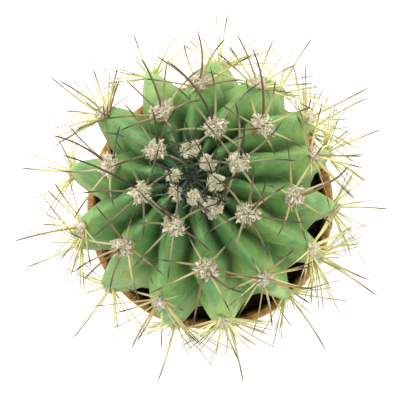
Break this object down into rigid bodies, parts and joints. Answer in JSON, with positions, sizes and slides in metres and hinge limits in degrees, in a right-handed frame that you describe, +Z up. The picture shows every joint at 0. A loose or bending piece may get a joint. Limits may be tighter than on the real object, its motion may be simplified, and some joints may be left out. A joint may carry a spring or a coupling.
{
  "type": "potted round cactus",
  "caption": "Ribbed globe cactus with woolly areoles and long radiating spines, growing in soil in a small round clay pot with a collar.",
  "frame": {"origin": "on the pot's axis at the underside of its foot, which is the middle of the bottom of the object's box", "axes": "+Z up the pot's axis; seen from above, +X points right and +Y to the top of the picture"},
  "size_m": [0.1299, 0.13, 0.16],
  "materials": {
    "clay": "matt unglazed fired clay with faint turning rings and darker damp patches",
    "soil": "crumbly dark potting mix with small lumps and grit",
    "cactus_skin": "smooth waxy green skin, paler on the outer ribs and darker in the grooves",
    "areole_wool": "cream felted wool with loose curled tufts",
    "spine": "horny straw-yellow spine, reddish brown to black towards the tip"
  },
  "bodies": {
    "root": {"pot": "clay", "soil": "soil", "cactus": "cactus_skin"}
  },
  "joints": []
}
